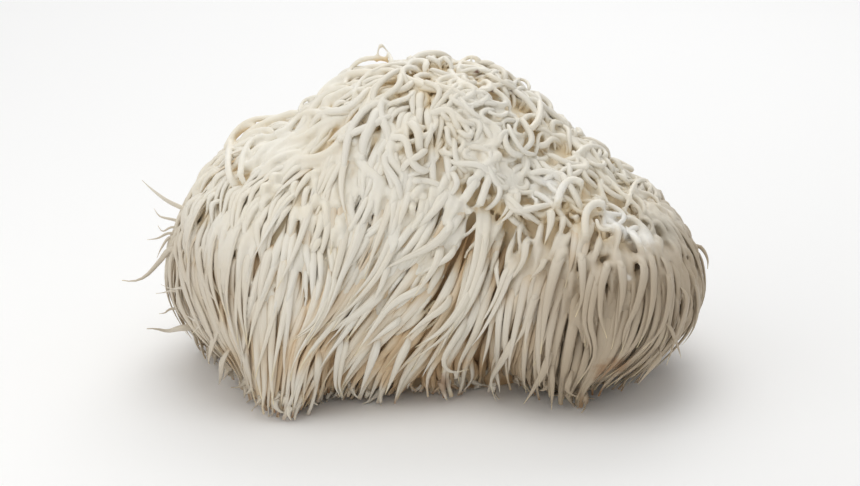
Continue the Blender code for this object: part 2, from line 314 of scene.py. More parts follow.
tuck = {
    "foot": 2.4,                   # low down, all round
    "corner": -8.0,                # at the front's left corner, which stands out
    "left": 6.5,                   # at the sides of the front
    "right": 3.5,
    "rim": 0.2,                    # at the right end
    "bulge": 0.4,
    "slope": 1.8,                  # the tangle's, on the right slope
}                                  # how many mm deeper than usual the mane lies, by place


def tucked(points):
    x, y, z = points[..., 0], points[..., 1], points[..., 2]
    low = 1.0 - ease(z, 3 * mm, 26 * mm)
    rim = ease(x, 46 * mm, 66 * mm)
    corner = ease(13 * mm - np.abs(x + 36 * mm), 0.0, 9 * mm) * ease(-y, 8 * mm, 24 * mm)
    left = ease(-x, 40 * mm, 54 * mm) * ease(-y, -4 * mm, 12 * mm)
    right = ease(x, 34 * mm, 56 * mm) * ease(-y, -4 * mm, 14 * mm)
    inward = tuck["foot"] + tuck["corner"] * corner + tuck["left"] * left + tuck["right"] * right
    return (low * inward + tuck["rim"] * rim + tuck["bulge"] * onBulge(points)) * mm


def slopeTuck(points):
    return tuck["slope"] * mm * ease(points[..., 0], 22 * mm, 42 * mm)


def drape(roots, lengths, leans, levels, steps=32):
    # walks each spine down the form; levels are its heights off the form at root, middle and tip
    points = roots.copy()
    path = [points]
    heading = None
    for step in range(steps):
        share = (step + 1.0) / steps
        normals = formNormal(points)
        aim = headings(points, normals, leans * (0.3 + share**1.5))
        under = ease(-normals[:, 2:], 0.25, 0.9) * share
        aim = unit(aim * (1.0 - under) - upward * under)
        heading = aim if heading is None else unit(heading * 0.82 + aim * 0.18)
        points = points + heading * (lengths / steps)[:, None]
        early = ease(share, 0.0, 0.4)
        late = ease(share, 0.35, 1.0)
        level = levels[:, 0] * (1.0 - early) + levels[:, 1] * early
        level = level + (levels[:, 2] - levels[:, 1]) * late
        level = level - tucked(points)
        grip = 0.55 * (1.0 - 0.7 * under[:, 0])
        points = points + normals * (grip * (level - formDistance(points)))[:, None]
        path.append(points)
    return np.stack(path, 1)


def resampled(paths, ends, count):
    # the stretch of each path up to its end share, at even steps
    spans = paths.shape[1] - 1
    shares = ends[:, None] * np.linspace(0.0, 1.0, count)[None] * spans
    low = np.clip(shares.astype(int), 0, spans - 1)
    part = (shares - low)[..., None]
    rows = np.arange(len(paths))[:, None]
    return paths[rows, low] * (1.0 - part) + paths[rows, low + 1] * part


def floorShares(paths, clear):
    # how far along each path it comes down to its own height above the floor
    below = paths[..., 2] < clear[:, None]
    first = np.where(below.any(1), below.argmax(1), paths.shape[1] - 1)
    return np.maximum(first / (paths.shape[1] - 1), 0.15), below.any(1)


def growingSites(gap, lowest, highest, chance, candidates=15000):
    # about evenly spaced places on the form, between two slopes counted from the tangle's edge
    order = np.arange(candidates) + 0.5
    rise = 1.0 - order / candidates * 1.35
    around = order * math.pi * (1.0 + math.sqrt(5.0))
    ring = np.sqrt(np.maximum(1.0 - rise**2, 0.0))
    rays = np.stack([ring * np.cos(around), ring * np.sin(around), rise], -1)
    points = fromHeart(rays)
    slopes = aboveEdge(points)
    points = points[(slopes > lowest) & (slopes < highest) & (points[:, 2] > 4.0 * mm)]
    points = points[chance.permutation(len(points))]
    kept = points[:1]
    for point in points[1:]:
        if ((kept - point) ** 2).sum(-1).min() > gap * gap:
            kept = np.vstack([kept, point])
    return kept


# Node trees: a wire is a socket that can stand in a sum

class Wire:
    def __init__(self, graph, socket):
        self.graph = graph
        self.socket = socket

    def sum(self, operation, first, second):
        return self.graph.add("ShaderNodeMath", {"operation": operation}, {0: first, 1: second})

    def __add__(self, other):
        return self.sum("ADD", self, other)

    def __sub__(self, other):
        return self.sum("SUBTRACT", self, other)

    def __rsub__(self, other):
        return self.sum("SUBTRACT", other, self)

    def __mul__(self, other):
        return self.sum("MULTIPLY", self, other)


class Graph:
    def __init__(self, tree):
        self.tree = tree

    def add(self, kind, settings=None, values=None, output=0):
        # one node, with its settings and then the values or links of its sockets
        node = self.tree.nodes.new(kind)
        for name, value in (settings or {}).items():
            setattr(node, name, value)
        for key, value in (values or {}).items():
            if isinstance(value, Wire):
                self.tree.links.new(value.socket, node.inputs[key])
            else:
                node.inputs[key].default_value = value
        return Wire(self, node.outputs[output])

    def fact(self, name, output="Fac"):
        return self.add("ShaderNodeAttribute", {"attribute_name": name}, output=output)

    def part(self, vector, axis):
        return self.add("ShaderNodeSeparateXYZ", {}, {"Vector": vector}, output=axis)

    def vector(self, operation, first, second, output=0):
        return self.add("ShaderNodeVectorMath", {"operation": operation}, {0: first, 1: second}, output)

    def band(self, value, low, high):
        # rises smoothly from 0 to 1 between low and high
        settings = {"interpolation_type": "SMOOTHSTEP"}
        return self.add("ShaderNodeMapRange", settings, {"Value": value, "From Min": low, "From Max": high})

    def mix(self, factor, first, second):
        return self.add("ShaderNodeMix", {"data_type": "RGBA"}, {0: factor, 6: first, 7: second}, output=2)

    def noise(self, vector, scale, detail=2.0, roughness=0.5):
        values = {"Vector": vector, "Scale": scale, "Detail": detail, "Roughness": roughness}
        return self.add("ShaderNodeTexNoise", {}, values)


def newMaterial(name):
    material = bpy.data.materials.new(name)
    material.use_nodes = True
    graph = Graph(material.node_tree)
    shader = material.node_tree.nodes["Principled BSDF"]
    return material, graph, shader


# Materials

fleshLook = {
    "cream": (0.84, 0.785, 0.67, 1.0),
    "ivory": (0.855, 0.82, 0.735, 1.0),
    "beige": (0.81, 0.63, 0.415, 1.0),
    "tan": (0.70, 0.46, 0.235, 1.0),
    "shade": (0.47, 0.385, 0.28, 1.0),
    "tipYellow": (0.82, 0.70, 0.45, 1.0),
    "footBrown": (0.30, 0.155, 0.065, 1.0),
    "pitShadeGold": (0.78, 0.61, 0.35, 1.0),
    "white": (0.91, 0.895, 0.85, 1.0),
    "grey": (0.47, 0.43, 0.35, 1.0),
    "dark": (0.16, 0.06, 0.03, 1.0),
    "streak": (0.55, 0.46, 0.33, 1.0),
    "roughness": 0.46,
    "specular": 0.35,
    "glowWeight": 0.5,             # light scattered inside the fused flesh
    "glowScale": 0.9 * mm,
    "glowRadius": (1.0, 1.0, 0.97),
}


def setFlesh(shader, glows=False):
    # scattering only suits a piece with no surfaces inside it, so the crossing spines go without
    if glows:
        shader.inputs["Subsurface Weight"].default_value = fleshLook["glowWeight"]
        shader.inputs["Subsurface Scale"].default_value = fleshLook["glowScale"]
        shader.inputs["Subsurface Radius"].default_value = fleshLook["glowRadius"]
    shader.inputs["Roughness"].default_value = fleshLook["roughness"]
    shader.inputs["Specular IOR Level"].default_value = fleshLook["specular"]


def dress(graph, shader, colour, height, strength, depth):
    # the colour, and a bump of this strength and depth
    bump = graph.add("ShaderNodeBump", {}, {"Strength": strength, "Distance": depth, "Height": height})
    graph.tree.links.new(colour.socket, shader.inputs["Base Color"])
    graph.tree.links.new(bump.socket, shader.inputs["Normal"])


marks = {
    "whiteValley": {"pixel": (550, 190), "size": 6.0 * mm, "colour": "white", "strength": 0.8},
    "whiteRight": {"pixel": (618, 218), "size": 6.5 * mm, "colour": "white", "strength": 0.85},
    "whiteRightLow": {"pixel": (640, 233), "size": 6.0 * mm, "colour": "white", "strength": 0.8},
    "whiteBlob": {"pixel": (630, 276), "size": 1.8 * mm, "colour": "white", "strength": 0.8},
    "greyRough": {"pixel": (660, 226), "size": 8.0 * mm, "colour": "grey", "strength": 0.55},
    "speckHigh": {"pixel": (476, 72), "size": 1.3 * mm, "colour": "dark", "strength": 0.9},
    "speckMiddle": {"pixel": (490, 91), "size": 1.2 * mm, "colour": "dark", "strength": 0.8},
    "speckRight": {"pixel": (512, 92), "size": 1.0 * mm, "colour": "dark", "strength": 0.7},
    "footRight": {"pixel": (615, 372), "size": 7.0 * mm, "colour": "footBrown", "strength": 0.75},
    "footTip": {"pixel": (590, 397), "size": 3.0 * mm, "colour": "footBrown", "strength": 0.8},
    "footMiddle": {"pixel": (440, 384), "size": 4.5 * mm, "colour": "footBrown", "strength": 0.7},
    "footCorner": {"pixel": (293, 412), "size": 3.0 * mm, "colour": "footBrown", "strength": 0.8},
    "footLeft": {"pixel": (183, 352), "size": 2.6 * mm, "colour": "footBrown", "strength": 0.8},
    "sideLeft": {"pixel": (182, 318), "size": 2.0 * mm, "colour": "footBrown", "strength": 0.7},
}                                      # patches of down, bruises and specks, by pixel


def marked(graph, place, colour):
    for mark in marks.values():
        centre = tuple(onForm([mark["pixel"]], 0.0)[0])
        away = graph.vector("DISTANCE", place, centre, "Value")
        ragged = graph.noise(place, 260.0, 3.0, 0.6)
        near = 1.0 - graph.band(away * (1.0 / mark["size"]) + (ragged - 0.5) * 1.2, 0.4, 1.0)
        colour = graph.mix(near * mark["strength"], colour, fleshLook[mark["colour"]])
    return colour


# where painted shade darkens the flesh, and how much
paintedShadeLook = {
    "foot": (2 * mm, 30 * mm),     # it fades out upwards between these heights
    "footStrength": 0.20,
    "right": (12 * mm, 42 * mm),   # it comes in between these places, to the right
    "rightStrength": 0.95,
    "left": (-60 * mm, -26 * mm),  # and it comes in to the left
    "leftStrength": 0.52,
    "top": (34 * mm, 56 * mm),     # both sides fade out between these heights
}


def paintedShade(graph, place):
    # painted shade: the flesh is darker near the foot and at both sides, where less light falls, most on the
    # right lobe
    height = graph.part(place, "Z")
    rightward = graph.part(place, "X")
    low = 1.0 - graph.band(height, *paintedShadeLook["foot"])
    right = graph.band(rightward, *paintedShadeLook["right"])
    left = 1.0 - graph.band(rightward, *paintedShadeLook["left"])
    side = right * paintedShadeLook["rightStrength"] + left * paintedShadeLook["leftStrength"]
    return low * paintedShadeLook["footStrength"] + side * (1.0 - graph.band(height, *paintedShadeLook["top"]))


spineLook = {
    "stretch": 30.0,               # how fast the fibres change along a spine
    "apart": 57.0,                 # each spine reads its own stretch of the noise
    "fibreScale": 2.2,
    "cloudScale": 55.0,
    "deep": (0.4, 2.6),            # mm of cover over which painted shade turns it beige
    "deepestShade": (2.0, 5.0),         # and then tan, deeper painted shade
    "tip": (0.86, 1.0),            # shares of its length over which a free tip turns yellow
    "stain": (0.86, 0.99),         # and one that touches the floor turns brown
    "streak": 0.28,
}


def spineFlesh():
    material, graph, shader = newMaterial("spineFlesh")
    setFlesh(shader)
    cover = graph.fact("cover") * (1.0 / mm)
    share = graph.fact("share")
    tone = graph.fact("tone")
    foot = graph.fact("foot")
    run = graph.fact("run") * spineLook["stretch"]
    lengthwise = graph.add("ShaderNodeCombineXYZ", {}, {2: run + tone * spineLook["apart"]})
    grain = graph.vector("ADD", graph.fact("around", "Vector"), lengthwise)
    fibre = graph.noise(grain, spineLook["fibreScale"], 3.0, 0.6)
    place = graph.add("ShaderNodeTexCoord", output="Object")
    cloud = graph.noise(place, spineLook["cloudScale"], 2.0)
    colour = graph.mix(tone, fleshLook["ivory"], fleshLook["cream"])
    # painted shade: the more spines lie over a point, the beiger and then tanner it is
    deep = graph.band(cover + (fibre - 0.5) * 0.8 + (cloud - 0.5) * 1.2, *spineLook["deep"])
    colour = graph.mix(deep, colour, fleshLook["beige"])
    colour = graph.mix(graph.band(cover, *spineLook["deepestShade"]), colour, fleshLook["tan"])
    # painted shade at the foot and at both sides
    colour = graph.mix(paintedShade(graph, place), colour, fleshLook["shade"])
    colour = marked(graph, place, colour)
    tip = graph.band(share, *spineLook["tip"]) * (1.0 - foot) * graph.band(tone, 0.1, 0.6)
    colour = graph.mix(tip * 0.85, colour, fleshLook["tipYellow"])
    stain = graph.band(share + (cloud - 0.5) * 0.3, *spineLook["stain"]) * foot
    colour = graph.mix(stain, colour, fleshLook["footBrown"])
    streak = graph.band(fibre, 0.35, 0.75)
    colour = graph.mix(streak * spineLook["streak"], colour, fleshLook["streak"])
    dress(graph, shader, colour, fibre, 0.35, 0.3 * mm)
    return material


tangleLook = {
    "cloudScale": 60.0,
    "fineScale": 700.0,
    "pitShade": (1.2, 4.0),          # mm of cover over which painted shade turns the pits golden
    "pitShadeStrength": 0.75,
    "deepestShade": (4.5, 8.0),         # and then tan, deeper painted shade
}


def tangleFlesh(name, glows):
    material, graph, shader = newMaterial(name)
    setFlesh(shader, glows)
    cover = graph.fact("cover") * (1.0 / mm)
    place = graph.add("ShaderNodeTexCoord", output="Object")
    cloud = graph.noise(place, tangleLook["cloudScale"], 3.0)
    fine = graph.noise(place, tangleLook["fineScale"], 3.0, 0.6)
    colour = graph.mix(graph.band(cloud, 0.35, 0.65), fleshLook["ivory"], fleshLook["cream"])
    # painted shade: the pits and gaps under the curls turn golden, then tan
    pitShade = graph.band(cover + (cloud - 0.5) * 1.5, *tangleLook["pitShade"])
    colour = graph.mix(pitShade * tangleLook["pitShadeStrength"], colour, fleshLook["pitShadeGold"])
    colour = graph.mix(graph.band(cover, *tangleLook["deepestShade"]), colour, fleshLook["tan"])
    # painted shade at the foot and at both sides
    colour = graph.mix(paintedShade(graph, place), colour, fleshLook["shade"])
    colour = marked(graph, place, colour)
    dress(graph, shader, colour, fine, 0.25, 0.2 * mm)
    return material


def coreFlesh():
    material, graph, shader = newMaterial("coreFlesh")
    setFlesh(shader)
    place = graph.add("ShaderNodeTexCoord", output="Object")
    cloud = graph.noise(place, 160.0, 3.0)
    colour = graph.mix(graph.band(cloud, 0.3, 0.7), fleshLook["tan"], fleshLook["beige"])
    dress(graph, shader, colour, cloud, 0.4, 0.6 * mm)
    return material


floorLook = {"size": 2.5, "colour": (0.96, 0.96, 0.96, 1.0), "roughness": 0.85}


def paleFloor():
    material, graph, shader = newMaterial("paleFloor")
    shader.inputs["Base Color"].default_value = floorLook["colour"]
    shader.inputs["Roughness"].default_value = floorLook["roughness"]
    return material


spineMaterial = spineFlesh()
tangleMaterial = tangleFlesh("tangleFlesh", True)
curlMaterial = tangleFlesh("curlFlesh", False)
coreMaterial = coreFlesh()
print("materials ready")


# Geometry Nodes: lines become tapered, slightly flat tubes

def strandTree():
    tree = bpy.data.node_groups.new("strandTree", "GeometryNodeTree")
    sockets = {
        "Lines": ("NodeSocketGeometry", None),
        "Sides": ("NodeSocketInt", 6),
        "Flatness": ("NodeSocketFloat", 0.8),
        "Wobble": ("NodeSocketFloat", 0.3 * mm),
        "Wobble scale": ("NodeSocketFloat", 90.0),
        "Seed": ("NodeSocketFloat", 1.0),
        "Material": ("NodeSocketMaterial", None),
    }
    for name, (kind, value) in sockets.items():
        socket = tree.interface.new_socket(name, in_out="INPUT", socket_type=kind)
        if value is not None:
            socket.default_value = value
    tree.interface.new_socket("Tubes", in_out="OUTPUT", socket_type="NodeSocketGeometry")
    graph = Graph(tree)
    given = tree.nodes.new("NodeGroupInput")
    inputs = {name: Wire(graph, given.outputs[name]) for name in sockets}

    def fact(name, kind):
        return graph.add("GeometryNodeInputNamedAttribute", {"data_type": kind}, {"Name": name})

    place = graph.add("GeometryNodeInputPosition")
    noise = graph.add(
        "ShaderNodeTexNoise",
        {"noise_dimensions": "4D"},
        {"Vector": place, "W": inputs["Seed"], "Scale": inputs["Wobble scale"], "Detail": 1.0},
        output="Color",
    )
    centred = graph.vector("SUBTRACT", noise, (0.5, 0.5, 0.5))
    size = inputs["Wobble"] * fact("share", "FLOAT") * 2.0
    shift = graph.add("ShaderNodeVectorMath", {"operation": "SCALE"}, {0: centred, 3: size})
    moved = graph.add("GeometryNodeSetPosition", {}, {"Geometry": inputs["Lines"], "Offset": shift})
    curve = graph.add("GeometryNodeMeshToCurve", {}, {"Mesh": moved})
    facing = fact("facing", "FLOAT_VECTOR")
    curve = graph.add("GeometryNodeSetCurveNormal", {"mode": "FREE"}, {"Curve": curve, "Normal": facing})
    ring = graph.add("GeometryNodeCurvePrimitiveCircle", {}, {"Resolution": inputs["Sides"], "Radius": 1.0})
    squashed = graph.add("ShaderNodeCombineXYZ", {}, {0: inputs["Flatness"], 1: 1.0, 2: 1.0})
    ring = graph.add("GeometryNodeTransform", {}, {"Geometry": ring, "Scale": squashed})
    ring = graph.add(
        "GeometryNodeStoreNamedAttribute",
        {"data_type": "FLOAT_VECTOR", "domain": "POINT"},
        {"Geometry": ring, "Name": "around", "Value": place},
    )
    tubes = graph.add(
        "GeometryNodeCurveToMesh",
        {},
        {"Curve": curve, "Profile Curve": ring, "Scale": fact("girth", "FLOAT"), "Fill Caps": True},
    )
    tubes = graph.add("GeometryNodeSetShadeSmooth", {}, {"Geometry": tubes, "Shade Smooth": True})
    tubes = graph.add("GeometryNodeRealizeInstances", {}, {"Geometry": tubes})
    tubes = graph.add("GeometryNodeSetMaterial", {}, {"Geometry": tubes, "Material": inputs["Material"]})
    leaving = tree.nodes.new("NodeGroupOutput")
    tree.links.new(tubes.socket, leaving.inputs["Tubes"])
    return tree


strands = strandTree()


def newObject(name, mesh):
    piece = bpy.data.objects.new(name, mesh)
    bpy.context.scene.collection.objects.link(piece)
    return piece


def triangles(piece):
    return sum(len(face.vertices) - 2 for face in piece.data.polygons)


def discard(piece):
    mesh = piece.data
    bpy.data.objects.remove(piece)
    bpy.data.meshes.remove(mesh)


def baked(piece, name):
    # the piece as its modifiers leave it, as a plain mesh in a new object
    graph = bpy.context.evaluated_depsgraph_get()
    mesh = bpy.data.meshes.new_from_object(piece.evaluated_get(graph))
    discard(piece)
    mesh.name = name
    return newObject(name, mesh)


def lineMesh(name, paths, girths, facts, facing):
    # one row of joined points for each path, with what the tree and the materials read
    count, size = paths.shape[:2]
    starts = (np.arange(count) * size)[:, None] + np.arange(size - 1)[None]
    edges = np.stack([starts, starts + 1], -1).reshape(-1, 2)
    mesh = bpy.data.meshes.new(name)
    mesh.vertices.add(count * size)
    mesh.vertices.foreach_set("co", paths.astype(np.float32).ravel())
    mesh.edges.add(len(edges))
    mesh.edges.foreach_set("vertices", edges.astype(np.int32).ravel())
    for label, values in {"girth": girths, **facts}.items():
        layer = mesh.attributes.new(label, "FLOAT", "POINT")
        layer.data.foreach_set("value", np.broadcast_to(values, (count, size)).astype(np.float32).ravel())
    layer = mesh.attributes.new("facing", "FLOAT_VECTOR", "POINT")
    layer.data.foreach_set("vector", facing.astype(np.float32).ravel())
    return newObject(name, mesh)


def tubesFrom(name, lines, material, **sizes):
    modifier = lines.modifiers.new("strands", "NODES")
    modifier.node_group = strands
    for item in strands.interface.items_tree:
        if item.in_out != "INPUT" or item.name == "Lines":
            continue
        if item.name == "Material":
            modifier[item.identifier] = material
        elif item.name in sizes:
            modifier[item.identifier] = sizes[item.name]
    return baked(lines, name)


def pointsOf(mesh):
    points = np.empty(len(mesh.vertices) * 3, np.float32)
    mesh.vertices.foreach_get("co", points)
    return points.reshape(-1, 3).astype(float)


def someTubes(name, rows, material, chosen=None, **sizes):
    paths, girths, facts, normals = rows
    chosen = slice(None) if chosen is None else chosen
    some = {label: np.broadcast_to(values, paths.shape[:2])[chosen] for label, values in facts.items()}
    lines = lineMesh(name + "Lines", paths[chosen], girths[chosen], some, normals[chosen])
    return tubesFrom(name, lines, material, **sizes)


# The mane, in layers; the last two, webs and crest, go with the tangle

mane = {
    "seed": 7,
    "clear": (0.8 * mm, 4.5 * mm),     # a spine is cut off somewhere here above the floor
    "sizes": {"Flatness": 0.42, "Wobble": 0.25 * mm},
    "layers": {
        "over": {
            "points": 18,
            "gap": 10.5 * mm,          # between locks
            "slopes": (-0.44, -0.02),  # where they root, counted from the tangle's edge
            "each": (3, 5),            # spines in a lock
            "length": (38.0 * mm, 60.0 * mm),
            "shorter": 0.70,           # of a lock's spines, against its longest
            "radius": (1.2 * mm, 2.0 * mm),
            "levels": ((-4.4, -3.6), (-0.5, 0.9), (0.6, 3.4)),   # mm off the form: root, middle, tip
            "lean": 0.10,
            "fan": 0.05,               # how a lock's spines spread apart
        },
        "edge": {
            "points": 18,
            "gap": 9.5 * mm,
            "slopes": (-0.30, 0.16),
            "each": (2, 3),
            "length": (26.0 * mm, 44.0 * mm),
            "shorter": 0.7,
            "radius": (1.2 * mm, 1.9 * mm),
            "levels": ((-4.0, -3.0), (-1.5, -0.4), (-1.0, 0.5)),
            "lean": 0.08,
            "fan": 0.04,
        },
        "middle": {
            "points": 16,
            "gap": 9.2 * mm,
            "slopes": (-1.05, -0.34),
            "each": (2, 3),
            "length": (28.0 * mm, 50.0 * mm),
            "shorter": 0.7,
            "radius": (1.2 * mm, 1.9 * mm),
            "levels": ((-5.0, -4.4), (-2.2, -0.9), (-1.6, 0.4)),
            "lean": 0.10,
            "fan": 0.05,
        },
        "loose": {
            "points": 18,
            "gap": 15.0 * mm,
            "slopes": (-0.80, 0.10),
            "each": (1, 2),
            "length": (28.0 * mm, 46.0 * mm),
            "shorter": 0.7,
            "radius": (0.9 * mm, 1.4 * mm),
            "levels": ((-4.4, -3.6), (0.0, 1.0), (1.0, 2.8)),
            "lean": 0.14,
            "fan": 0.08,
        },
        "under": {
            "points": 13,
            "gap": 6.4 * mm,
            "slopes": (-1.25, 0.02),
            "each": (1, 2),
            "length": (28.0 * mm, 48.0 * mm),
            "shorter": 0.7,
            "radius": (1.5 * mm, 2.2 * mm),
            "levels": ((-5.6, -5.0), (-3.0, -2.0), (-2.6, -1.0)),
            "lean": 0.10,
            "fan": 0.05,
        },
        "fringe": {
            "points": 13,
            "gap": 5.4 * mm,
            "slopes": (-1.60, -0.62),
            "each": (1, 2),
            "length": (18.0 * mm, 34.0 * mm),
            "shorter": 0.6,
            "radius": (0.8 * mm, 1.5 * mm),
            "levels": ((-4.8, -4.0), (-2.8, -0.8), (-2.2, 0.6)),
            "lean": 0.20,
            "fan": 0.10,
        },
        "webs": {                      # these are fused with the tangle
            "points": 12,
            "gap": 4.6 * mm,
            "slopes": (-0.24, 0.18),
            "each": (1, 2),
            "length": (14.0 * mm, 30.0 * mm),
            "shorter": 0.6,
            "radius": (0.9 * mm, 1.45 * mm),
            "levels": ((-2.8, -1.8), (-1.0, 0.4), (-2.2, -0.6)),
            "lean": 0.26,
            "fan": 0.16,
        },
        "crest": {                     # broad strands on the calm side of the tangle
            "points": 12,
            "gap": 5.6 * mm,
            "slopes": (-0.14, 2.0),
            "each": (2, 3),
            "length": (16.0 * mm, 34.0 * mm),
            "shorter": 0.6,
            "radius": (0.95 * mm, 1.5 * mm),
            "levels": ((-2.8, -1.8), (-0.6, 0.6), (-2.6, -1.2)),
            "lean": 0.34,
            "fan": 0.16,
        },
    },
    "pieces": {
        "maneOver": (("over", "loose", "guides"), 8),
        "maneEdge": (("edge",), 8),
        "maneMiddle": (("middle",), 7),
        "maneUnder": (("under", "fringe"), 6),
    },                                 # what layers each is made of, and how many sides a spine has
}


def taper(shares, grown, power=1.9, tip=0.06):
    # how thick a spine is; it is fully grown at this share of its length
    return np.maximum((1.0 - shares**power) ** 0.95, tip) * (0.10 + 0.90 * ease(shares, 0.0, grown))


def spinePaths(layer, chance):
    # locks of spines that lie side by side
    sites = growingSites(layer["gap"], *layer["slopes"], chance)
    each = chance.integers(layer["each"][0], layer["each"][1] + 1, len(sites))
    clump = np.repeat(np.arange(len(sites)), each)
    order = np.concatenate([np.arange(size) - (size - 1) / 2.0 for size in each])
    total = len(clump)

    def spread(low, high, own):
        # a value for each lock, which its spines share but for their own part
        mixed = chance.random(len(sites))[clump] * (1.0 - own) + chance.random(total) * own
        return low + (high - low) * mixed

    radii = spread(*layer["radius"], 0.4)
    across = slopeAxes(sites, formNormal(sites))[1][clump]
    roots = sites[clump] + across * (order * radii * 1.5)[:, None] + chance.normal(0.0, 0.5 * mm, (total, 3))
    levels = np.stack([spread(low, high, 0.35) for low, high in layer["levels"]], -1) * mm
    roots = settled(roots, levels[:, 0])
    leans = chance.normal(0.0, layer["lean"], len(sites))[clump]
    leans = leans + order * chance.normal(0.0, layer["fan"], len(sites))[clump]
    leans = leans + chance.normal(0.0, 0.03, total)
    lengths = spread(*layer["length"], 0.0)
    lengths = lengths * chance.uniform(layer["shorter"], 1.05, total)
    return drape(roots, lengths, leans, levels), lengths, radii


def finished(paths, lengths, radii, chance, count, waves=0.4 * mm, hook=1.8 * mm):
    # cut at the floor, waved, hooked where they touch it, and given their thickness
    grown = np.where(aboveEdge(paths[:, 0]) < -0.15, 0.42, 0.28)[:, None]
    clear = mane["clear"][0] + (mane["clear"][1] - mane["clear"][0]) * chance.random(len(paths)) ** 2.5
    clear = clear if hook else np.full(len(paths), 0.7 * mm)
    ends, foot = floorShares(paths, clear)
    paths = resampled(paths, ends, count)
    shares = np.linspace(0.0, 1.0, count)[None]
    normals = formNormal(paths)
    along = unit(np.gradient(paths, axis=1))
    side = unit(np.cross(normals, along))
    phase = chance.uniform(0.0, 2.0 * math.pi, (len(paths), 1))
    beats = chance.uniform(0.6, 1.4, (len(paths), 1))
    size = chance.normal(0.0, waves, (len(paths), 1))
    swing = size * np.sin(phase + beats * 2.0 * math.pi * shares) * shares
    paths = paths + side * swing[..., None]
    outward = paths - heart
    outward[..., 2] = 0.0
    aside = chance.normal(0.0, 0.9, (len(paths), 1, 1)) * np.cross(unit(outward), upward)
    curl = chance.uniform(-0.3, 1.0, (len(paths), 1)) * foot[:, None] * hook
    paths = paths + (unit(outward) + aside) * (curl * ease(shares, 0.70, 1.0) ** 2)[..., None]
    thick = taper(shares, grown)
    blunt = np.maximum(thick, foot[:, None] * chance.uniform(0.15, 0.42, (len(paths), 1)))
    girths = radii[:, None] * np.where(shares > 0.5, blunt, thick)
    paths[..., 2] = np.maximum(paths[..., 2], girths * 0.9 + 0.2 * mm)
    facts = {
        "share": np.broadcast_to(shares, girths.shape),
        "run": shares * (lengths * ends)[:, None],
        "tone": np.broadcast_to(chance.random((len(paths), 1)), girths.shape),
        "foot": np.broadcast_to(foot[:, None] * chance.uniform(0.2, 1.0, (len(paths), 1)), girths.shape),
    }
    return paths, girths, facts, normals


def guideSpines(chance):
    # each guide lock as a few spines side by side, closing up towards its tip
    paths, lengths, radii = [], [], []
    for name, lock in guides.items():
        path = guidePaths[name]
        count = max(1, round(lock["width"] / 7.5))
        normals = formNormal(path)
        side = unit(np.cross(normals, unit(np.gradient(path, axis=0))))
        shares = np.linspace(0.0, 1.0, len(path))
        length = np.linalg.norm(np.diff(path, axis=0), axis=1).sum()
        width = lock["width"] * pixelSize
        for number in range(count):
            off = (number - (count - 1) / 2.0) * width / count
            off = off * (1.0 - 0.55 * shares**1.5)
            sink = -5.6 * mm * (1.0 - ease(shares, 0.0, 0.34)) + chance.uniform(-0.5, 0.2) * mm
            sink = sink - 1.6 * mm * onBulge(path)
            row = path + side * off[:, None] + normals * sink[:, None]
            end = 1.0 if number == count // 2 else chance.uniform(0.72, 0.98)
            paths.append(resampled(row[None], np.array([end]), 33)[0])
            lengths.append(length * end)
            radii.append(width / count * 0.62)
    return np.stack(paths), np.array(lengths), np.array(radii)


def makeLayers():
    chance = np.random.default_rng(mane["seed"])
    layers = {}
    for name, layer in mane["layers"].items():
        layers[name] = finished(*spinePaths(layer, chance), chance, layer["points"])
        print("spines in", name, len(layers[name][0]))
    layers["guides"] = finished(*guideSpines(chance), chance, 18, waves=0.15 * mm, hook=0.0)
    return layers


def together(groups):
    # several sets of spines as one
    paths, girths, facts, normals = zip(*groups)
    joined = {label: np.concatenate([one[label] for one in facts]) for label in facts[0]}
    return np.concatenate(paths), np.concatenate(girths), joined, np.concatenate(normals)


maneLayers = makeLayers()
pieces = []
for name, (layers, sides) in mane["pieces"].items():
    rows = together([maneLayers[layer] for layer in layers])
    pieces.append(someTubes(name, rows, spineMaterial, Sides=sides, **mane["sizes"]))
print("mane ready")


# The flesh inside, down to the flat cut it stands on

core = {
    "level": -5.4 * mm,
    "rings": 40,
    "sides": 96,
    "underside": 5.0 * mm,         # above the floor
    "cut": (34.0 * mm, 22.0 * mm), # radii of the flat oval it stands on
    "cutMiddle": (7.2 * mm, 1.1 * mm),
}


def ringsAround(level, lowest, count, sides):
    # rings of points on the form at this level, from the top down to the lowest angle
    turns = np.linspace(0.0, 2.0 * math.pi, sides, endpoint=False)
    rises = np.linspace(math.pi / 2, lowest, count + 1)[1:]
    rise, turn = np.meshgrid(rises, turns, indexing="ij")
    rays = np.stack([np.cos(rise) * np.cos(turn), np.cos(rise) * np.sin(turn), np.sin(rise)], -1)
    return fromHeart(rays, level)


def closedRings(name, level, rings):
    # a closed mesh from the form's top at this level, through the rings, to one last face
    sides = rings.shape[1]
    points = np.concatenate([fromHeart(upward[None], level), rings.reshape(-1, 3)])
    faces = [(0, 1 + side, 1 + (side + 1) % sides) for side in range(sides)]
    for ring in range(len(rings) - 1):
        here = 1 + ring * sides
        below = here + sides
        for side in range(sides):
            after = (side + 1) % sides
            faces.append((here + side, below + side, below + after, here + after))
    last = 1 + (len(rings) - 1) * sides
    faces.append(tuple(last + side for side in reversed(range(sides))))
    mesh = bpy.data.meshes.new(name)
    mesh.from_pydata(points.tolist(), [], faces)
    return newObject(name, mesh)


